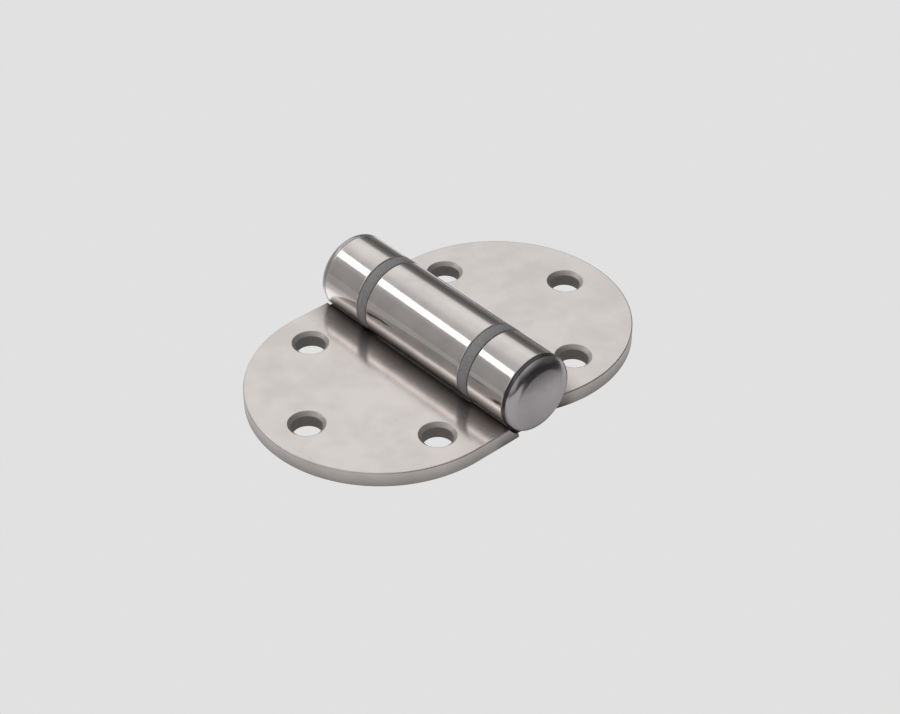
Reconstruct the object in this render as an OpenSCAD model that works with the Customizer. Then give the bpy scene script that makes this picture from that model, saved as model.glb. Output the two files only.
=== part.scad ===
// Butt hinge lying open flat. The pin runs along X, the leaves spread along Y,
// and both leaves and the barrel rest on the plane z = 0.

/* [Leaves] */
// Width of each leaf, measured along the pin
leaf_w = 50; // [46:1:58]
// Distance from the pin's axis to the tip of each leaf
leaf_reach = 39; // [36:1:50]
// Thickness of the leaf plates
plate_t = 3; // [2.5:0.25:4]
// Rounding of the plates' rims, above and below
rim_round = 0.5; // [0.2:0.1:1]

/* [Barrel] */
// Outer diameter of the knuckles
barrel_d = 15; // [14:0.5:18]
// Length of the middle knuckle
middle_l = 25; // [20:1:30]
// How far each outer knuckle ends inside the leaf's side edge
knuckle_inset = 1; // [0.3:0.1:1.5]
// Chamfer on the knuckles' end edges
edge_break = 0.25; // [0.05:0.05:0.4]
// Gap between a knuckle and the plate that is cut back around it
relief_gap = 0.4; // [0.2:0.1:0.8]
// Plate thickness left at the foot of the cut-back edge
lip_t = 0.8; // [0.4:0.1:1.2]

/* [Screw holes] */
// Diameter of the screw holes
hole_d = 5.5; // [4:0.5:6.5]
// Chamfer of the holes at the top face
hole_chamfer = 0.7; // [0.2:0.1:1]
// Distance from a hole's centre to the edge of the leaf
hole_margin = 7.5; // [6:0.5:9]
// Distance from the barrel to the centres of the inner pair of holes
hole_from_barrel = 9; // [7:0.5:11]

/* [Pin, bushes and caps] */
// Diameter of the hinge pin
pin_d = 8; // [6:0.5:9]
// Chamfer at the pin's ends
pin_chamfer = 0.5; // [0.2:0.1:1]
// Wall of the bush sleeves
bush_wall = 1; // [0.8:0.1:1.4]
// Length of the bush sleeves inside the middle knuckle
bush_l = 9; // [5:0.5:9.5]
// Thickness of the bush flanges, the two bands that show between the knuckles
flange_t = 2.4; // [1.5:0.1:3]
// Thickness of the end caps outside the knuckles
cap_t = 2; // [1.5:0.1:2.5]
// Rounding of the end caps' outer edge, at most their thickness
cap_round = 1.7; // [0.5:0.1:2]
// Length of the end caps' spigots in the knuckle bores
spigot_l = 3; // [1.5:0.5:5]

/* [Fits] */
// Radial clearance between the pin and the bushes it turns in
running_gap = 0.05; // [0.02:0.01:0.1]
// Radial clearance of pieces that are fixed in a bore
seat_gap = 0.01; // [0.01:0.01:0.02]
// End play between each bush flange and its outer knuckle
end_play = 0.05; // [0.05:0.01:0.1]
// Space between the pin's ends and the cap spigots
pin_end_gap = 0.1; // [0.05:0.05:0.3]

/* [Hidden] */
$fn = 96;
steel = [0.79, 0.77, 0.75];
steel_dark = [0.58, 0.56, 0.55];
bush_grey = [0.42, 0.43, 0.44];
overshoot = 1;

// The barrel touches the leaves' back plane, so its axis stands one radius above it
barrel_r = barrel_d / 2;
axis_z = barrel_r;
leaf_r = leaf_w / 2;
leaf_centre = leaf_reach - leaf_r;

// Stations along the pin, from the middle outwards
middle_end = middle_l / 2;
outer_start = middle_end + flange_t + end_play;
outer_end = leaf_r - knuckle_inset;
pin_half = outer_end - spigot_l - pin_end_gap;

// Bores, from the pin outwards
bush_bore_r = pin_d / 2 + running_gap;
bush_r = bush_bore_r + bush_wall;
middle_bore_r = bush_r + seat_gap;
outer_bore_r = pin_d / 2 + seat_gap;

// The cut-back edge: a hollow round the barrel that stops where the plate is lip_t thick
relief_r = barrel_r + relief_gap;
lip_y = sqrt(relief_r * relief_r - (axis_z - lip_t) * (axis_z - lip_t));

// Hole places on a leaf, as distances along the pin and away from its axis
inner_x = leaf_r - hole_margin;
inner_y = barrel_r + hole_from_barrel;
outer_y = leaf_reach - hole_margin;
hole_places = [[-inner_x, inner_y], [inner_x, inner_y], [0, outer_y]];

// A turned shape whose profile is drawn as [radius, station along the pin]
module turned_on_axis(from) {
    translate([from, 0, axis_z])
        rotate([0, 90, 0])
            rotate_extrude()
                children();
}

// Section of a plate edge from x = 0 to the rounded rim at x = reach
module edge_section(reach) {
    square([reach - rim_round, plate_t]);
    translate([0, rim_round])
        square([reach, plate_t - 2 * rim_round]);
    translate([reach - rim_round, rim_round])
        circle(rim_round);
    translate([reach - rim_round, plate_t - rim_round])
        circle(rim_round);
}

// Round end of a leaf, a full disc with a rounded rim; side is 1 for the back leaf, -1 for the front
module round_plate(side) {
    translate([0, side * leaf_centre, 0])
        rotate_extrude()
            edge_section(leaf_r);
}

// Straight-sided part of the front leaf, from the disc's widest line to under the barrel
module straight_plate() {
    for (half = [0, 1])
        mirror([half, 0, 0])
            rotate([90, 0, 0])
                linear_extrude(leaf_centre)
                    edge_section(leaf_r);
}

// What is cut from a plate along the barrel, between two stations
module relief(from, to, side) {
    translate([from, 0, axis_z])
        rotate([0, 90, 0])
            cylinder(r = relief_r, h = to - from);
    translate([from, side > 0 ? -leaf_r : -lip_y, -overshoot])
        cube([to - from, leaf_r + lip_y, plate_t + 2 * overshoot]);
}

// The part of a leaf's disc that lies past the pin's axis, where the plate has ended in the barrel
module past_axis(side) {
    side_end = leaf_r + overshoot;
    translate([-side_end, side > 0 ? -leaf_r : 0, -overshoot])
        cube([2 * side_end, leaf_r, plate_t + 2 * overshoot]);
}

// One knuckle between two stations, with its end edges broken
module knuckle(from, to) {
    len = to - from;
    turned_on_axis(from)
        polygon([
            [0, 0],
            [barrel_r - edge_break, 0],
            [barrel_r, edge_break],
            [barrel_r, len - edge_break],
            [barrel_r - edge_break, len],
            [0, len]
        ]);
}

module bore(r, from, to) {
    translate([from, 0, axis_z])
        rotate([0, 90, 0])
            cylinder(r = r, h = to - from);
}

// Screw holes of one leaf, each with a chamfer at the top face
module screw_holes(side) {
    mouth_d = hole_d + 2 * hole_chamfer;
    for (place = hole_places)
        translate([place[0], side * place[1], 0]) {
            translate([0, 0, -overshoot])
                cylinder(d = hole_d, h = plate_t + 2 * overshoot);
            translate([0, 0, plate_t - hole_chamfer])
                cylinder(d1 = hole_d, d2 = mouth_d, h = hole_chamfer);
            translate([0, 0, plate_t])
                cylinder(d = mouth_d, h = overshoot);
        }
}

// Leaf with the two outer knuckles; its straight sides carry them over their whole length
module front_leaf() {
    side_end = leaf_r + overshoot;
    color(steel)
        difference() {
            union() {
                difference() {
                    union() {
                        round_plate(-1);
                        straight_plate();
                    }
                    past_axis(-1);
                    relief(-outer_start, outer_start, -1);
                    relief(outer_end, side_end, -1);
                    relief(-side_end, -outer_end, -1);
                }
                knuckle(outer_start, outer_end);
                knuckle(-outer_end, -outer_start);
            }
            bore(outer_bore_r, -side_end, side_end);
            screw_holes(-1);
        }
}

// Leaf with the middle knuckle; its round outline runs on as far as the barrel
module back_leaf() {
    side_end = leaf_r + overshoot;
    color(steel)
        difference() {
            union() {
                difference() {
                    round_plate(1);
                    past_axis(1);
                    relief(middle_end, side_end, 1);
                    relief(-side_end, -middle_end, 1);
                }
                knuckle(-middle_end, middle_end);
            }
            bore(middle_bore_r, -side_end, side_end);
            screw_holes(1);
        }
}

// Plain pin, held in the outer knuckles and running in the bushes
module hinge_pin() {
    pin_r = pin_d / 2;
    color(steel_dark)
        turned_on_axis(-pin_half)
            polygon([
                [0, 0],
                [pin_r - pin_chamfer, 0],
                [pin_r, pin_chamfer],
                [pin_r, 2 * pin_half - pin_chamfer],
                [pin_r - pin_chamfer, 2 * pin_half],
                [0, 2 * pin_half]
            ]);
}

// Flanged bush at one end of the middle knuckle; its flange is flush with the barrel
module bush() {
    color(bush_grey)
        turned_on_axis(middle_end - bush_l)
            polygon([
                [bush_bore_r, 0],
                [bush_r, 0],
                [bush_r, bush_l],
                [barrel_r - edge_break, bush_l],
                [barrel_r, bush_l + edge_break],
                [barrel_r, bush_l + flange_t - edge_break],
                [barrel_r - edge_break, bush_l + flange_t],
                [bush_bore_r, bush_l + flange_t]
            ]);
}

// End cap: a disc with a rounded outer edge and a spigot that sits in the knuckle's bore
module end_cap() {
    color(steel)
        turned_on_axis(outer_end)
            union() {
                translate([0, -spigot_l])
                    square([pin_d / 2, spigot_l]);
                square([barrel_r - cap_round, cap_t]);
                polygon([
                    [0, 0],
                    [barrel_r - edge_break, 0],
                    [barrel_r, edge_break],
                    [barrel_r, max(edge_break, cap_t - cap_round)],
                    [0, max(edge_break, cap_t - cap_round)]
                ]);
                translate([barrel_r - cap_round, cap_t - cap_round])
                    intersection() {
                        circle(cap_round);
                        square(cap_round);
                    }
            }
}

front_leaf();
back_leaf();
hinge_pin();
mirror([1, 0, 0]) bush();  // bush_left
bush();  // bush_right
mirror([1, 0, 0]) end_cap();  // end_cap_left
end_cap();  // end_cap_right
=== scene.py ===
import math

import bpy
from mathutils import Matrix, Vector


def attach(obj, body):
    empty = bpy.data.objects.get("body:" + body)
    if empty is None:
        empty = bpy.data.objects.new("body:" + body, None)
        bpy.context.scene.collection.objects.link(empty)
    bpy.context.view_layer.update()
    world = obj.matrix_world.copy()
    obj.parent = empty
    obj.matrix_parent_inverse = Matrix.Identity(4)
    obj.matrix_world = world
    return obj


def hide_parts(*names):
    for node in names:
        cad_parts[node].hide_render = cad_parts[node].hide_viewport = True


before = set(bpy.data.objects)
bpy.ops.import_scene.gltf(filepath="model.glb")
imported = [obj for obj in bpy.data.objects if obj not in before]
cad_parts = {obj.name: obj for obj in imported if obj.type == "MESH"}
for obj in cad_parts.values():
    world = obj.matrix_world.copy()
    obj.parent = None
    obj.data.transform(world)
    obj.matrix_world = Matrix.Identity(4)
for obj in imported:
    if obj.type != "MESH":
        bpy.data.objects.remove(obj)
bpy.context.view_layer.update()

# Front leaf: a 3 mm stainless steel plate with a round end and straight sides, in one
# piece with the two outer knuckles. It is cut back round the middle knuckle, drilled
# for three screws, rounded along its rim and polished to a satin shine.
MM = 0.001  # sizes are in millimetres, and finish_mesh brings each piece to metres
LEAF_R = 25.0
LEAF_CENTRE = 14.0
PLATE_T = 3.0
RIM_ROUND = 0.22
BARREL_R = 7.5
AXIS_Z = 7.5
OUTER_START = 14.95
OUTER_END = 24.0
OUTER_BORE_R = 4.01
KNUCKLE_BREAK = 0.25
NEAR_JOINT_BREAK = 0.4
FAR_JOINT_BREAK = 0.06
RELIEF_R = 7.9
RELIEF_EDGE_BREAK = 0.12
LIP_Y = 4.186
HOLE_R = 2.75
HOLE_CHAMFER = 0.7
HOLE_EDGE_BREAK = 0.09
INNER_HOLE = (17.5, 16.5)
TIP_HOLE_Y = 31.5
SIDE_END = 26.0
OVERCUT = 1
DISC_SIDES = 240
BARREL_SIDES = 256
BORE_SIDES = 128
HOLE_SIDES = 96


def make_only(piece):
    bpy.ops.object.select_all(action="DESELECT")
    piece.select_set(True)
    bpy.context.view_layer.objects.active = piece


def settle(piece):
    make_only(piece)
    bpy.ops.object.transform_apply(location=True, rotation=True, scale=True)


def pick(piece, kind, wanted):
    make_only(piece)
    bpy.ops.object.mode_set(mode="EDIT")
    bpy.ops.mesh.select_mode(type=kind)
    bpy.ops.mesh.select_all(action="DESELECT")
    bpy.ops.object.mode_set(mode="OBJECT")
    mesh = piece.data
    if kind == "FACE":
        for face in mesh.polygons:
            face.select = wanted(face.center, face.normal)
    else:
        for edge in mesh.edges:
            a, b = (mesh.vertices[i].co for i in edge.vertices)
            edge.select = wanted(a, b)
    bpy.ops.object.mode_set(mode="EDIT")


def bevel_picked(amount, steps):
    bpy.ops.mesh.bevel(offset=amount, segments=steps, profile=0.5, affect="EDGES")
    bpy.ops.object.mode_set(mode="OBJECT")


def round_bar(radius, start, end, sides):
    bpy.ops.object.select_all(action="DESELECT")
    bpy.ops.mesh.primitive_cylinder_add(
        vertices=sides, radius=radius, depth=end - start,
        location=((start + end) / 2, 0, AXIS_Z), rotation=(0, math.pi / 2, 0))
    bar = bpy.context.object
    settle(bar)
    return bar


def block(low, high):
    bpy.ops.object.select_all(action="DESELECT")
    bpy.ops.mesh.primitive_cube_add(
        size=1, location=[(a + b) / 2 for a, b in zip(low, high)],
        scale=[b - a for a, b in zip(low, high)])
    cube = bpy.context.object
    settle(cube)
    return cube


def combine(piece, tool, operation):
    change = piece.modifiers.new("combine", "BOOLEAN")
    change.operation = operation
    change.solver = "EXACT"
    change.object = tool
    make_only(piece)
    bpy.ops.object.modifier_apply(modifier=change.name)
    bpy.data.objects.remove(tool, do_unlink=True)


def near(a, b, reach=0.01):
    return abs(a - b) < reach


def leaf_disc(name, side):
    bpy.ops.object.select_all(action="DESELECT")
    bpy.ops.mesh.primitive_cylinder_add(
        vertices=DISC_SIDES, radius=LEAF_R, depth=PLATE_T,
        location=(0, side * LEAF_CENTRE, PLATE_T / 2))
    plate = bpy.context.object
    plate.name = name
    settle(plate)
    return plate


def round_the_rim(plate, cut_y):
    def on_rim(a, b):
        flat = near(a.z, b.z) and (near(a.z, 0) or near(a.z, PLATE_T))
        return flat and not any(near(a.y, y) and near(b.y, y) for y in cut_y)
    pick(plate, "EDGE", on_rim)
    bevel_picked(RIM_ROUND, steps=6)


def cut_back(plate, start, end, side):
    combine(plate, round_bar(RELIEF_R, start, end, BARREL_SIDES), "DIFFERENCE")
    low_y, high_y = (-LIP_Y, LEAF_R) if side < 0 else (-LEAF_R, LIP_Y)
    combine(plate, block((start, low_y, -OVERCUT), (end, high_y, PLATE_T + OVERCUT)),
            "DIFFERENCE")


def break_end(bar, station, amount):
    pick(bar, "EDGE", lambda a, b: near(a.x, station) and near(b.x, station))
    bevel_picked(amount, steps=3)


def add_knuckle(plate, start, end):
    bar = round_bar(BARREL_R, start, end, BARREL_SIDES)
    for station in (start, end):
        amount = KNUCKLE_BREAK
        if near(abs(station), OUTER_END):
            amount = NEAR_JOINT_BREAK if station > 0 else FAR_JOINT_BREAK
        break_end(bar, station, amount)
    combine(plate, bar, "UNION")


def drill_screw_holes(plate, side):
    places = [(-INNER_HOLE[0], INNER_HOLE[1]), INNER_HOLE, (0, TIP_HOLE_Y)]
    for x, y in places:
        bpy.ops.object.select_all(action="DESELECT")
        bpy.ops.mesh.primitive_cylinder_add(
            vertices=HOLE_SIDES, radius=HOLE_R, depth=PLATE_T + OVERCUT - HOLE_CHAMFER,
            location=(x, side * y, (PLATE_T - OVERCUT - HOLE_CHAMFER) / 2))
        drill = bpy.context.object
        settle(drill)
        pick(drill, "FACE", lambda centre, normal: normal.z > 0.9)
        bpy.ops.mesh.extrude_region_move(
            TRANSFORM_OT_translate={"value": (0, 0, HOLE_CHAMFER)})
        wider = (HOLE_R + HOLE_CHAMFER) / HOLE_R
        bpy.ops.transform.resize(value=(wider, wider, 1))
        bpy.ops.mesh.extrude_region_move(TRANSFORM_OT_translate={"value": (0, 0, OVERCUT)})
        bpy.ops.object.mode_set(mode="OBJECT")
        combine(plate, drill, "DIFFERENCE")

    def on_a_mouth(a, b):
        for x, y in places:
            for z, radius in ((PLATE_T, HOLE_R + HOLE_CHAMFER), (0, HOLE_R)):
                if all(near(p.z, z) and near(math.hypot(p.x - x, p.y - side * y), radius, 0.02)
                       for p in (a, b)):
                    return True
        return False
    pick(plate, "EDGE", on_a_mouth)
    bevel_picked(HOLE_EDGE_BREAK, steps=2)


def break_relief_edge(plate, along_cut_back):
    edge_y = math.sqrt(RELIEF_R ** 2 - (AXIS_Z - PLATE_T) ** 2)

    def on_edge(a, b):
        at_top = near(a.z, PLATE_T) and near(b.z, PLATE_T)
        at_relief = near(abs(a.y), edge_y, 0.03) and near(abs(b.y), edge_y, 0.03)
        runs_along_pin = abs(a.x - b.x) > 0.5
        return at_top and at_relief and runs_along_pin and along_cut_back(abs(a.x + b.x) / 2)
    pick(plate, "EDGE", on_edge)
    bevel_picked(RELIEF_EDGE_BREAK, steps=2)


def finish_mesh(piece, smooth_up_to=32):
    make_only(piece)
    bpy.ops.object.mode_set(mode="EDIT")
    bpy.ops.mesh.select_all(action="SELECT")
    bpy.ops.mesh.remove_doubles(threshold=0.0005)
    bpy.ops.mesh.normals_make_consistent(inside=False)
    bpy.ops.object.mode_set(mode="OBJECT")
    piece.scale = (MM, MM, MM)
    settle(piece)
    bpy.ops.object.shade_smooth_by_angle(angle=math.radians(smooth_up_to),
                                         keep_sharp_edges=False)
    even = piece.modifiers.new("even_shading", "WEIGHTED_NORMAL")
    even.keep_sharp = True
    even.weight = 80
    bpy.ops.object.modifier_apply(modifier=even.name)


front_leaf = leaf_disc("front_leaf_polished", -1)
pick(front_leaf, "FACE", lambda centre, normal: True)
bpy.ops.mesh.bisect(plane_co=(0, -LEAF_CENTRE, 0), plane_no=(0, 1, 0),
                    use_fill=True, clear_outer=True, clear_inner=False, threshold=0.001)
bpy.ops.object.mode_set(mode="OBJECT")
pick(front_leaf, "FACE", lambda centre, normal: normal.y > 0.99)
bpy.ops.mesh.extrude_region_move(TRANSFORM_OT_translate={"value": (0, LEAF_CENTRE, 0)})
bpy.ops.object.mode_set(mode="OBJECT")
round_the_rim(front_leaf, (0, -LEAF_CENTRE))
cut_back(front_leaf, -OUTER_START, OUTER_START, -1)
cut_back(front_leaf, OUTER_END, SIDE_END, -1)
cut_back(front_leaf, -SIDE_END, -OUTER_END, -1)
add_knuckle(front_leaf, OUTER_START, OUTER_END)
add_knuckle(front_leaf, -OUTER_END, -OUTER_START)
combine(front_leaf, round_bar(OUTER_BORE_R, -SIDE_END, SIDE_END, BORE_SIDES), "DIFFERENCE")
drill_screw_holes(front_leaf, -1)
break_relief_edge(front_leaf, lambda x: x < OUTER_START)
finish_mesh(front_leaf)


def add(tree, kind, **settings):
    made = tree.nodes.new(kind)
    for key, value in settings.items():
        setattr(made, key, value)
    return made


def join(tree, source, target):
    tree.links.new(source, target)


def feed(tree, value, socket):
    if isinstance(value, tuple):
        socket.default_value = (*value, 1)
    elif isinstance(value, (int, float)):
        socket.default_value = value
    else:
        join(tree, value, socket)


def new_group(name, inputs, outputs):
    tree = bpy.data.node_groups.new(name, "ShaderNodeTree")
    for label, kind, value in inputs:
        socket = tree.interface.new_socket(label, in_out="INPUT", socket_type=kind)
        if value is not None:
            socket.default_value = value
    for label, kind in outputs:
        tree.interface.new_socket(label, in_out="OUTPUT", socket_type=kind)
    return tree, add(tree, "NodeGroupInput"), add(tree, "NodeGroupOutput")


def arithmetic(tree, operation, *values, clamp=False):
    made = add(tree, "ShaderNodeMath", operation=operation, use_clamp=clamp)
    for value, socket in zip(values, made.inputs):
        feed(tree, value, socket)
    return made.outputs[0]


def times(tree, first, second):
    return arithmetic(tree, "MULTIPLY", first, second)


def plus(tree, first, second, clamp=False):
    return arithmetic(tree, "ADD", first, second, clamp=clamp)


def larger(tree, first, second):
    return arithmetic(tree, "MAXIMUM", first, second)


def length(tree, first, second):
    return arithmetic(tree, "SQRT", plus(tree, times(tree, first, first),
                                         times(tree, second, second)))


def remap(tree, value, low, high, to_low=0.0, to_high=1.0, smooth=False):
    made = add(tree, "ShaderNodeMapRange",
               interpolation_type="SMOOTHSTEP" if smooth else "LINEAR")
    join(tree, value, made.inputs["Value"])
    for label, number in (("From Min", low), ("From Max", high),
                          ("To Min", to_low), ("To Max", to_high)):
        feed(tree, number, made.inputs[label])
    return made.outputs["Result"]


# A Mix node has sockets of the same name for each kind of value, so a number picks one
def blend_colours(tree, mask, first, second):
    made = add(tree, "ShaderNodeMix", data_type="RGBA", blend_type="MIX")
    for i, value in ((0, mask), (6, first), (7, second)):
        feed(tree, value, made.inputs[i])
    return made.outputs[2]


def lightened(colour, amount):
    return tuple(min(1.0, amount * v) for v in colour)


# Grain of a polishing belt or a lathe: fine lines that run across one direction
grain_group, g_in, g_out = new_group(
    "polishing_grain",
    [("Place", "NodeSocketVector", None), ("Stretch", "NodeSocketVector", (1, 1, 1)),
     ("Lines per metre", "NodeSocketFloat", 9000)],
    [("Lines", "NodeSocketFloat"), ("Patches", "NodeSocketFloat")])
stretched = add(grain_group, "ShaderNodeVectorMath", operation="MULTIPLY")
join(grain_group, g_in.outputs["Place"], stretched.inputs[0])
join(grain_group, g_in.outputs["Stretch"], stretched.inputs[1])
fine = add(grain_group, "ShaderNodeTexNoise", noise_dimensions="3D")
fine.inputs["Detail"].default_value = 3
fine.inputs["Roughness"].default_value = 0.6
join(grain_group, stretched.outputs[0], fine.inputs["Vector"])
join(grain_group, g_in.outputs["Lines per metre"], fine.inputs["Scale"])
wide = add(grain_group, "ShaderNodeTexNoise", noise_dimensions="3D")
wide.inputs["Scale"].default_value = 170
wide.inputs["Detail"].default_value = 2
join(grain_group, g_in.outputs["Place"], wide.inputs["Vector"])
join(grain_group, fine.outputs["Fac"], g_out.inputs["Lines"])
join(grain_group, wide.outputs["Fac"], g_out.inputs["Patches"])

# Hairline scratches from handling: thin curved lines where a noise crosses its middle
scratch_group, s_in, s_out = new_group(
    "hairline_scratches",
    [("Place", "NodeSocketVector", None), ("Turn", "NodeSocketVector", (1, 1, 1))],
    [("Scratch", "NodeSocketFloat")])
turned_place = add(scratch_group, "ShaderNodeVectorRotate", rotation_type="EULER_XYZ")
join(scratch_group, s_in.outputs["Place"], turned_place.inputs["Vector"])
join(scratch_group, s_in.outputs["Turn"], turned_place.inputs["Rotation"])
long_place = add(scratch_group, "ShaderNodeVectorMath", operation="MULTIPLY")
long_place.inputs[1].default_value = (1, 0.06, 1)
join(scratch_group, turned_place.outputs[0], long_place.inputs[0])
crossing = add(scratch_group, "ShaderNodeTexNoise", noise_dimensions="3D")
crossing.inputs["Scale"].default_value = 420
crossing.inputs["Detail"].default_value = 1
join(scratch_group, long_place.outputs[0], crossing.inputs["Vector"])
distance = arithmetic(scratch_group, "ABSOLUTE",
                      arithmetic(scratch_group, "SUBTRACT", crossing.outputs["Fac"], 0.5))
line = remap(scratch_group, distance, 0.0, 0.006, 1.0, 0.0, smooth=True)
here = add(scratch_group, "ShaderNodeTexNoise", noise_dimensions="3D")
here.inputs["Scale"].default_value = 260
join(scratch_group, turned_place.outputs[0], here.inputs["Vector"])
sparse = remap(scratch_group, here.outputs["Fac"], 0.55, 0.66, smooth=True)
join(scratch_group, times(scratch_group, line, sparse), s_out.inputs["Scratch"])

# Shade in narrow corners, and the brighter line where an edge has been rubbed
corner_group, c_in, c_out = new_group(
    "corners_and_edges",
    [("Corner reach", "NodeSocketFloat", 0.003), ("Edge reach", "NodeSocketFloat", 0.0005)],
    [("Corner", "NodeSocketFloat"), ("Edge", "NodeSocketFloat")])
closed = add(corner_group, "ShaderNodeAmbientOcclusion", samples=8)
join(corner_group, c_in.outputs["Corner reach"], closed.inputs["Distance"])
join(corner_group, remap(corner_group, closed.outputs["AO"], 0.94, 0.34),
     c_out.inputs["Corner"])
thin = add(corner_group, "ShaderNodeAmbientOcclusion", samples=8, inside=True)
join(corner_group, c_in.outputs["Edge reach"], thin.inputs["Distance"])
join(corner_group, remap(corner_group, thin.outputs["AO"], 0.97, 0.6, smooth=True),
     c_out.inputs["Edge"])


def knuckle_mask(tree, apart):
    up = arithmetic(tree, "SUBTRACT", apart.outputs["Z"], AXIS_Z * MM)
    return remap(tree, length(tree, up, apart.outputs["Y"]),
                 (BARREL_R + 0.05) * MM, (BARREL_R + 0.12) * MM, 1, 0)


def hole_mask(tree, place, apart):
    folded = add(tree, "ShaderNodeVectorMath", operation="ABSOLUTE")
    join(tree, place, folded.inputs[0])
    flat = add(tree, "ShaderNodeVectorMath", operation="MULTIPLY")
    flat.inputs[1].default_value = (1, 1, 0)
    join(tree, folded.outputs[0], flat.inputs[0])
    away = []
    for x, y in (INNER_HOLE, (0, TIP_HOLE_Y)):
        to_centre = add(tree, "ShaderNodeVectorMath", operation="DISTANCE")
        to_centre.inputs[1].default_value = (x * MM, y * MM, 0)
        join(tree, flat.outputs[0], to_centre.inputs[0])
        away.append(to_centre.outputs["Value"])
    mouth_r = HOLE_R + HOLE_CHAMFER
    within_mouth = remap(tree, arithmetic(tree, "MINIMUM", *away),
                         (mouth_r + 0.06) * MM, mouth_r * MM)
    half_t = PLATE_T / 2
    from_middle = arithmetic(tree, "ABSOLUTE", arithmetic(
        tree, "SUBTRACT", apart.outputs["Z"], half_t * MM))
    between_faces = remap(tree, from_middle, (half_t - 0.02) * MM, (half_t - 0.06) * MM)
    return times(tree, between_faces, within_mouth)


def rim_mask(tree, apart):
    from_axis = arithmetic(tree, "ABSOLUTE", apart.outputs["Y"])
    past_barrel = remap(tree, from_axis, (BARREL_R + 0.5) * MM, (BARREL_R + 2.5) * MM)
    below_face = remap(tree, apart.outputs["Z"], (PLATE_T - 0.1) * MM, (PLATE_T - 0.3) * MM)
    return times(tree, past_barrel, below_face)


SHADE_ON_PLATES = 0.97
SHADE_ON_MIDDLE_KNUCKLE = 0.3
SHADE_ON_OUTER_KNUCKLES = 0.05
SHADE_ON_TURNED_STEEL = 0.85
SHADE_KEPT_ON_RIMS_AND_IN_HOLES = 0.6
SHADE_OF_A_JOINT = 0.85
SHADE_OF_DRILLED_STEEL = 0.12
DULLED_BY_SCRATCHES = 0.12
DULLED_BY_RUBBING = 0.25
DULLED_BY_DRILLING = 0.28
DULLED_IN_CORNERS = 0.3


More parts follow.
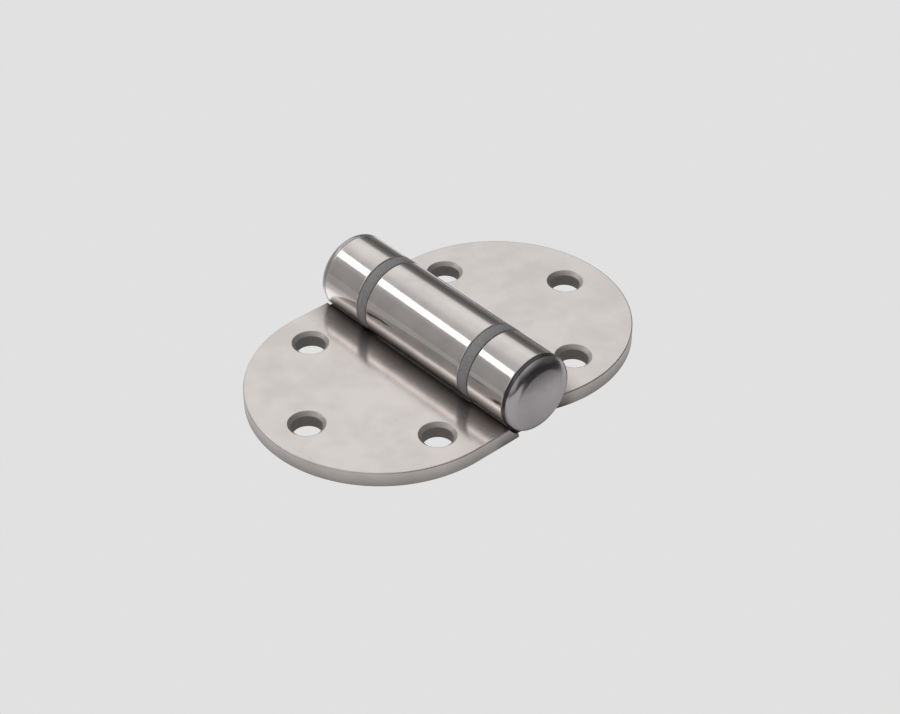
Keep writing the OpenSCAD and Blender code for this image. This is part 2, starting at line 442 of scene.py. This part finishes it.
# Steel: joint gives the stations between which the shade of the near joint grows, and
# knuckle the knuckles' roughness and the direction of their grain, for a leaf only
def steel(name, colour, roughness, grain_stretch, lines, corner_reach, corner_colour,
          joint=None, knuckle=None):
    made = bpy.data.materials.new(name)
    made.use_nodes = True
    tree = made.node_tree
    shader = tree.nodes["Principled BSDF"]
    shader.inputs["Metallic"].default_value = 1.0
    place = add(tree, "ShaderNodeTexCoord").outputs["Object"]
    apart = add(tree, "ShaderNodeSeparateXYZ")
    join(tree, place, apart.inputs[0])
    grain = add(tree, "ShaderNodeGroup", node_tree=grain_group)
    join(tree, place, grain.inputs["Place"])
    grain.inputs["Stretch"].default_value = grain_stretch
    grain.inputs["Lines per metre"].default_value = lines
    if knuckle:
        knuckle_roughness, knuckle_stretch = knuckle
        on_knuckle = knuckle_mask(tree, apart)
        drilled = hole_mask(tree, place, apart)
        turn_lines = add(tree, "ShaderNodeMix", data_type="VECTOR")
        join(tree, on_knuckle, turn_lines.inputs[0])
        turn_lines.inputs[4].default_value = grain_stretch
        turn_lines.inputs[5].default_value = knuckle_stretch
        join(tree, turn_lines.outputs[1], grain.inputs["Stretch"])
    scratches = add(tree, "ShaderNodeGroup", node_tree=scratch_group)
    join(tree, place, scratches.inputs["Place"])
    scratches.inputs["Turn"].default_value = (0.4, 0.9, 0.6)
    corners = add(tree, "ShaderNodeGroup", node_tree=corner_group)
    corners.inputs["Corner reach"].default_value = corner_reach

    patchy = blend_colours(tree, remap(tree, grain.outputs["Patches"], 0.35, 0.65),
                           lightened(colour, 0.94), lightened(colour, 1.05))
    rubbed = blend_colours(tree, times(tree, corners.outputs["Edge"], 0.5),
                           patchy, lightened(colour, 1.15))
    weight = SHADE_ON_TURNED_STEEL
    if knuckle:
        from_middle = arithmetic(tree, "ABSOLUTE", apart.outputs["X"])
        on_barrel = remap(tree, from_middle, (OUTER_START - 0.4) * MM, OUTER_START * MM,
                          SHADE_ON_MIDDLE_KNUCKLE, SHADE_ON_OUTER_KNUCKLES)
        weight = remap(tree, on_knuckle, 0, 1, SHADE_ON_PLATES, on_barrel)
        lessened = larger(tree, drilled, rim_mask(tree, apart))
        weight = times(tree, weight,
                       remap(tree, lessened, 0, 1, 1, SHADE_KEPT_ON_RIMS_AND_IN_HOLES))
    shade = times(tree, corners.outputs["Corner"], weight)
    if joint:
        in_joint = remap(tree, apart.outputs["X"], joint[0] * MM, joint[1] * MM,
                         0, SHADE_OF_A_JOINT)
        near_half = remap(tree, apart.outputs["X"], 0, MM)
        in_joint = times(tree, in_joint, on_knuckle if knuckle else near_half)
        shade = larger(tree, shade, in_joint)
    if knuckle:
        shade = larger(tree, shade, times(tree, drilled, SHADE_OF_DRILLED_STEEL))
    shaded = blend_colours(tree, shade, rubbed, corner_colour)
    join(tree, shaded, shader.inputs["Base Color"])

    grain_rough = remap(tree, grain.outputs["Lines"], 0.3, 0.7,
                        roughness * 0.8, roughness * 1.25)
    if knuckle:
        grain_rough = times(tree, grain_rough,
                            remap(tree, on_knuckle, 0, 1, 1, knuckle_roughness / roughness))
    rough = plus(tree, grain_rough,
                 remap(tree, grain.outputs["Patches"], 0.3, 0.7, -0.01, 0.02))
    rough = plus(tree, rough, times(tree, scratches.outputs["Scratch"], DULLED_BY_SCRATCHES))
    rough = plus(tree, rough, times(tree, corners.outputs["Edge"], DULLED_BY_RUBBING))
    if knuckle:
        rough = plus(tree, rough, times(tree, drilled, DULLED_BY_DRILLING))
    rough = plus(tree, rough, times(tree, corners.outputs["Corner"], DULLED_IN_CORNERS),
                 clamp=True)
    join(tree, rough, shader.inputs["Roughness"])

    height = plus(tree, times(tree, grain.outputs["Lines"], 0.35), grain.outputs["Patches"])
    height = arithmetic(tree, "SUBTRACT", height,
                        times(tree, scratches.outputs["Scratch"], 0.25))
    relief = add(tree, "ShaderNodeBump")
    relief.inputs["Strength"].default_value = 0.10
    relief.inputs["Distance"].default_value = 0.00008
    join(tree, height, relief.inputs["Height"])
    join(tree, relief.outputs["Normal"], shader.inputs["Normal"])
    return made


def wear(piece, material):
    piece.data.materials.clear()
    piece.data.materials.append(material)


leaf_steel = steel("leaf_steel_satin_polish", colour=(0.711, 0.665, 0.642), roughness=0.14,
                   grain_stretch=(0.12, 1, 1), lines=7000,
                   corner_reach=0.0058, corner_colour=(0.012, 0.01, 0.009),
                   joint=(OUTER_END - 0.28, OUTER_END - 0.18), knuckle=(0.07, (1, 0.1, 0.1)))
wear(front_leaf, leaf_steel)
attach(front_leaf, "fixed_side")
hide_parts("front_leaf")

# Back leaf: the same plate with a fully round outline, in one piece with the middle
# knuckle. It is cut back round the two outer knuckles and polished like the front leaf.
MIDDLE_END = 12.5
MIDDLE_BORE_R = 5.06

back_leaf = leaf_disc("back_leaf_polished", 1)
pick(back_leaf, "FACE", lambda centre, normal: True)
bpy.ops.mesh.bisect(plane_co=(0, 0, 0), plane_no=(0, 1, 0),
                    use_fill=True, clear_outer=False, clear_inner=True, threshold=0.001)
bpy.ops.object.mode_set(mode="OBJECT")
round_the_rim(back_leaf, (0,))
cut_back(back_leaf, MIDDLE_END, SIDE_END, 1)
cut_back(back_leaf, -SIDE_END, -MIDDLE_END, 1)
add_knuckle(back_leaf, -MIDDLE_END, MIDDLE_END)
combine(back_leaf, round_bar(MIDDLE_BORE_R, -SIDE_END, SIDE_END, BORE_SIDES), "DIFFERENCE")
drill_screw_holes(back_leaf, 1)
break_relief_edge(back_leaf, lambda x: x > MIDDLE_END)
finish_mesh(back_leaf)
wear(back_leaf, leaf_steel)
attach(back_leaf, "swinging_side")
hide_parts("back_leaf")

# Bushes: two flanged bearing bushes of filled grey plastic, pressed into the ends of
# the middle knuckle. Only their 2.4 mm flanges show, as the two darker bands.
BUSH_FLANGE = 2.4
BUSH_L = 9.0
BUSH_R = 5.05
BUSH_BORE_R = 4.05


def end_face(direction):
    return lambda centre, normal: normal.x * direction > 0.999


def on_bush_bore(point):
    return near(math.hypot(point.y, point.z - AXIS_Z), BUSH_BORE_R, 0.02)


bush = round_bar(BARREL_R, MIDDLE_END, MIDDLE_END + BUSH_FLANGE, BARREL_SIDES)
bush.name = "bush_right_moulded"
break_end(bush, MIDDLE_END, KNUCKLE_BREAK)
break_end(bush, MIDDLE_END + BUSH_FLANGE, KNUCKLE_BREAK)
pick(bush, "FACE", end_face(-1))
bpy.ops.mesh.inset(thickness=BARREL_R - KNUCKLE_BREAK - BUSH_R, depth=0)
bpy.ops.mesh.extrude_region_move(TRANSFORM_OT_translate={"value": (-BUSH_L, 0, 0)})
bpy.ops.mesh.inset(thickness=BUSH_R - BUSH_BORE_R, depth=0)
bpy.ops.mesh.delete(type="FACE")
bpy.ops.object.mode_set(mode="OBJECT")
pick(bush, "FACE", end_face(1))
bpy.ops.mesh.inset(thickness=BARREL_R - KNUCKLE_BREAK - BUSH_BORE_R, depth=0)
bpy.ops.mesh.delete(type="FACE")
bpy.ops.object.mode_set(mode="OBJECT")
pick(bush, "EDGE", lambda a, b: near(a.x, b.x) and on_bush_bore(a) and on_bush_bore(b))
bpy.ops.mesh.bridge_edge_loops()
bpy.ops.object.mode_set(mode="OBJECT")

bush_plastic = bpy.data.materials.new("bush_filled_plastic")
bush_plastic.use_nodes = True
tree = bush_plastic.node_tree
shader = tree.nodes["Principled BSDF"]
place = add(tree, "ShaderNodeTexCoord").outputs["Object"]
speckle = add(tree, "ShaderNodeTexNoise")
speckle.inputs["Scale"].default_value = 2600
speckle.inputs["Detail"].default_value = 4
join(tree, place, speckle.inputs["Vector"])
cloud = add(tree, "ShaderNodeTexNoise")
cloud.inputs["Scale"].default_value = 350
join(tree, place, cloud.inputs["Vector"])
corners = add(tree, "ShaderNodeGroup", node_tree=corner_group)
corners.inputs["Corner reach"].default_value = 0.0015
moulded_tone_and_corner_shade = blend_colours(tree, remap(tree, speckle.outputs["Fac"], 0.4, 0.62),
                     (0.31, 0.298, 0.303), (0.41, 0.395, 0.402))
moulded_tone_and_corner_shade = blend_colours(tree, times(tree, cloud.outputs["Fac"], 0.3), moulded_tone_and_corner_shade, (0.35, 0.339, 0.345))
# Painted shade: the plastic goes towards near black in narrow corners, where the flanges meet
# the knuckles
moulded_tone_and_corner_shade = blend_colours(tree, times(tree, corners.outputs["Corner"], 0.75), moulded_tone_and_corner_shade,
                     (0.03, 0.03, 0.032))
join(tree, moulded_tone_and_corner_shade, shader.inputs["Base Color"])
join(tree, remap(tree, speckle.outputs["Fac"], 0.3, 0.7, 0.36, 0.52),
     shader.inputs["Roughness"])
relief = add(tree, "ShaderNodeBump")
relief.inputs["Strength"].default_value = 0.25
relief.inputs["Distance"].default_value = 0.00005
join(tree, speckle.outputs["Fac"], relief.inputs["Height"])
join(tree, relief.outputs["Normal"], shader.inputs["Normal"])


def mirrored_copy(piece, name):
    other = piece.copy()
    other.data = piece.data.copy()
    other.name = name
    bpy.context.scene.collection.objects.link(other)
    other.scale = (-1, 1, 1)
    settle(other)
    return other


TURNED_SMOOTH_UP_TO = 40

bush_left = mirrored_copy(bush, "bush_left_moulded")
for piece, node in ((bush, "bush_right"), (bush_left, "bush_left")):
    finish_mesh(piece, TURNED_SMOOTH_UP_TO)
    wear(piece, bush_plastic)
    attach(piece, "swinging_side")
    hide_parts(node)

# Hinge pin: a plain ground bar held in the outer knuckles, with a small chamfer at each
# end. It is hidden by the knuckles and the caps, so it stays as the frame has it.
pin_steel = steel("pin_steel_ground", colour=(0.56, 0.55, 0.54), roughness=0.22,
                  grain_stretch=(1, 0.1, 0.1), lines=12000,
                  corner_reach=0.002, corner_colour=(0.05, 0.048, 0.045))
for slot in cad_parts["hinge_pin"].material_slots:
    slot.material = pin_steel

# End caps: turned steel discs with a well rounded outer edge. Each closes the end of an
# outer knuckle and is held by a spigot that is pressed into the knuckle's bore.
CAP_END = 26.0
CAP_ROUND_IN = 2.3
CAP_ROUND_ALONG = 1.7
CAP_BREAK = 0.06
SPIGOT_R = 4.0
SPIGOT_L = 3.0

# The cap is made long, rounded, and then flattened, which makes its edge an ellipse
flatten = CAP_ROUND_ALONG / CAP_ROUND_IN
long_end = (CAP_END - OUTER_END) / flatten
cap = round_bar(BARREL_R, 0, long_end, BARREL_SIDES)
cap.name = "end_cap_right_turned"
pick(cap, "EDGE", lambda a, b: near(a.x, long_end) and near(b.x, long_end))
bevel_picked(CAP_ROUND_IN, steps=16)
cap.scale = (flatten, 1, 1)
cap.location = (OUTER_END, 0, 0)
settle(cap)
break_end(cap, OUTER_END, CAP_BREAK)
pick(cap, "FACE", end_face(-1))
bpy.ops.mesh.inset(thickness=BARREL_R - CAP_BREAK - SPIGOT_R, depth=0)
bpy.ops.mesh.extrude_region_move(TRANSFORM_OT_translate={"value": (-SPIGOT_L, 0, 0)})
bpy.ops.object.mode_set(mode="OBJECT")

cap_steel = steel("cap_steel_turned", colour=(0.50, 0.469, 0.475), roughness=0.2,
                  grain_stretch=(1, 0.1, 0.1), lines=9000,
                  corner_reach=0.0025, corner_colour=(0.03, 0.028, 0.03),
                  joint=(OUTER_END + 0.75, OUTER_END + 0.6))
cap_left = mirrored_copy(cap, "end_cap_left_turned")
for piece, node in ((cap, "end_cap_right"), (cap_left, "end_cap_left")):
    finish_mesh(piece, TURNED_SMOOTH_UP_TO)
    wear(piece, cap_steel)
    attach(piece, "fixed_side")
    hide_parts(node)

# Studio: a plain pale floor that the camera sees in one even tone, while the steel and
# the light see it as a real matt surface. It glows like a lit sweep, more past the far
# end and less before the front leaf, and is dark beside the near cap and behind the hinge.
bpy.ops.object.select_all(action="DESELECT")
bpy.ops.mesh.primitive_plane_add(size=6, location=(0, 0, -0.00001))
floor = bpy.context.object
floor.name = "studio_floor"
floor_pale = bpy.data.materials.new("floor_pale")
floor_pale.use_nodes = True
tree = floor_pale.node_tree
tree.nodes.clear()
ground = add(tree, "ShaderNodeSeparateXYZ")
join(tree, add(tree, "ShaderNodeTexCoord").outputs["Object"], ground.inputs[0])
x, y = ground.outputs["X"], ground.outputs["Y"]


def floor_patch(strength, *fades):
    for axis, start, full in fades:
        strength = times(tree, remap(tree, axis, start * MM, full * MM), strength)
    return strength


past_far_end = floor_patch(0.5, (x, -24.5, -26.5), (x, -35, -31), (y, 0, -4), (y, -18, -13))
from_leaf = length(tree, x, plus(tree, y, LEAF_CENTRE * MM))
before_leaf = floor_patch(-0.26, (x, 20, 0), (y, -20, -30), (from_leaf, 27, 31))
glow = remap(tree, y, 20 * MM, 70 * MM, 0.28, 0.34, smooth=True)
glow = plus(tree, plus(tree, glow, past_far_end), before_leaf)
beside = times(tree, remap(tree, x, 34.3 * MM, 37.8 * MM),
               remap(tree, y, -MM, 7 * MM, smooth=True))
behind = times(tree, remap(tree, x, 30 * MM, 10 * MM),
               remap(tree, y, 46 * MM, 56 * MM, 0, 0.74, smooth=True))
dark = larger(tree, beside, behind)

seen = add(tree, "ShaderNodeEmission")
seen.inputs["Color"].default_value = (0.752, 0.752, 0.752, 1)
matt = add(tree, "ShaderNodeBsdfDiffuse")
join(tree, blend_colours(tree, dark, (0.80, 0.80, 0.81), (0.07, 0.07, 0.07)),
     matt.inputs["Color"])
sweep = add(tree, "ShaderNodeEmission")
join(tree, times(tree, glow, remap(tree, dark, 0, 1, 1, 0.05)), sweep.inputs["Strength"])
lit = add(tree, "ShaderNodeAddShader")
join(tree, matt.outputs[0], lit.inputs[0])
join(tree, sweep.outputs[0], lit.inputs[1])
choose = add(tree, "ShaderNodeMixShader")
join(tree, add(tree, "ShaderNodeLightPath").outputs["Is Camera Ray"], choose.inputs[0])
join(tree, lit.outputs[0], choose.inputs[1])
join(tree, seen.outputs[0], choose.inputs[2])
join(tree, choose.outputs[0], add(tree, "ShaderNodeOutputMaterial").inputs[0])
floor.data.materials.append(floor_pale)

# Light tent: the walls' brightness from the horizon up to the zenith, on each side
world = bpy.data.worlds.new("studio_tent")
bpy.context.scene.world = world
world.use_nodes = True
tree = world.node_tree
tree.nodes.clear()
sky = add(tree, "ShaderNodeBackground")
join(tree, sky.outputs[0], add(tree, "ShaderNodeOutputWorld").inputs[0])
direction = add(tree, "ShaderNodeSeparateXYZ")
join(tree, add(tree, "ShaderNodeTexCoord").outputs["Generated"], direction.inputs[0])
rightward, backward, upward = direction.outputs


def tent_wall(*stops):
    made = add(tree, "ShaderNodeValToRGB")
    ramp = made.color_ramp
    ramp.interpolation = "EASE"
    ramp.elements.remove(ramp.elements[1])
    ramp.elements[0].position = stops[0][0]
    ramp.elements[0].color = (*[stops[0][1]] * 3, 1)
    for position, level in stops[1:]:
        ramp.elements.new(position).color = (level, level, level, 1)
    join(tree, upward, made.inputs[0])
    return made.outputs[0]


def toward(axis, start, full):
    return remap(tree, axis, start, full, smooth=True)


back_wall = tent_wall((0.0, 0.15), (0.2, 0.12), (0.38, 0.2), (0.54, 0.86), (0.66, 0.92),
                      (0.8, 0.82), (1.0, 0.8))
front_wall = tent_wall((0.0, 0.34), (0.45, 0.37), (0.7, 0.55), (0.85, 0.6), (1.0, 0.7))
left_wall = tent_wall((0.0, 0.5), (0.25, 0.95), (1.0, 0.95))
right_wall = tent_wall((0.0, 0.03), (0.25, 0.05), (0.45, 0.1), (0.7, 0.22), (0.9, 0.42),
                       (1.0, 0.6))
right_front = tent_wall((0.0, 0.12), (0.12, 0.2), (0.3, 0.5), (0.7, 0.55), (1.0, 0.6))
right_back = tent_wall((0.0, 0.11), (0.25, 0.12), (0.45, 0.14), (0.7, 0.22), (1.0, 0.6))
walls = blend_colours(tree, toward(backward, -0.2, 0.2), front_wall, back_wall)
far_left = times(tree, toward(rightward, -0.7, -0.9), toward(backward, -0.1, 0.2))
walls = blend_colours(tree, far_left, walls, left_wall)
right_side = blend_colours(tree, toward(backward, -0.44, -0.6), right_wall, right_front)
right_side = blend_colours(tree, toward(backward, 0.5, 0.8), right_side, right_back)
walls = blend_colours(tree, toward(rightward, -0.48, -0.34), walls, right_side)
join(tree, walls, sky.inputs[0])


# Key light and camera: each is aimed at a point, from a distance in metres
def aim(name, data, looked_at, direction, away):
    made = bpy.data.objects.new(name, data)
    bpy.context.scene.collection.objects.link(made)
    made.location = looked_at + direction * away
    made.rotation_mode = "QUATERNION"
    made.rotation_quaternion = direction.to_track_quat("Z", "Y")
    return made


SOFTBOX_SIZE = (0.85, 0.2)
SOFTBOX_RADIANCE = 1.6
softbox = bpy.data.lights.new("key_softbox", "AREA")
softbox.shape = "RECTANGLE"
softbox.size, softbox.size_y = SOFTBOX_SIZE
softbox.energy = SOFTBOX_RADIANCE * SOFTBOX_SIZE[0] * SOFTBOX_SIZE[1] * math.pi
toward_softbox = Vector((-0.60, -0.40, 0.70)).normalized()
aim("key_softbox", softbox, looked_at=Vector((0, 0, 0)), direction=toward_softbox, away=1.2)

AZIMUTH = math.radians(48.05)
ELEVATION = math.radians(38.17)
PX_PER_MM = 5.46
CAMERA_AWAY = 386.5
PHOTO_WIDTH_PX = 900
CENTRE_RIGHT_PX = 8.4
CENTRE_UP_PX = 4.9
SENSOR_WIDTH = 36
toward_camera = Vector((math.sin(AZIMUTH) * math.cos(ELEVATION),
                        -math.cos(AZIMUTH) * math.cos(ELEVATION), math.sin(ELEVATION)))
camera_right = Vector((math.cos(AZIMUTH), math.sin(AZIMUTH), 0))
camera_up = toward_camera.cross(camera_right)
camera_data = bpy.data.cameras.new("photo_view")
camera_data.sensor_width = SENSOR_WIDTH
camera_data.lens = SENSOR_WIDTH * PX_PER_MM * CAMERA_AWAY / PHOTO_WIDTH_PX
camera_data.clip_start = 0.01
camera_data.clip_end = 20
photo_centre = (camera_right * CENTRE_RIGHT_PX + camera_up * CENTRE_UP_PX) * (MM / PX_PER_MM)
bpy.context.scene.camera = aim("photo_view", camera_data, photo_centre, toward_camera,
                               CAMERA_AWAY * MM)
bpy.context.scene.view_settings.view_transform = "Standard"
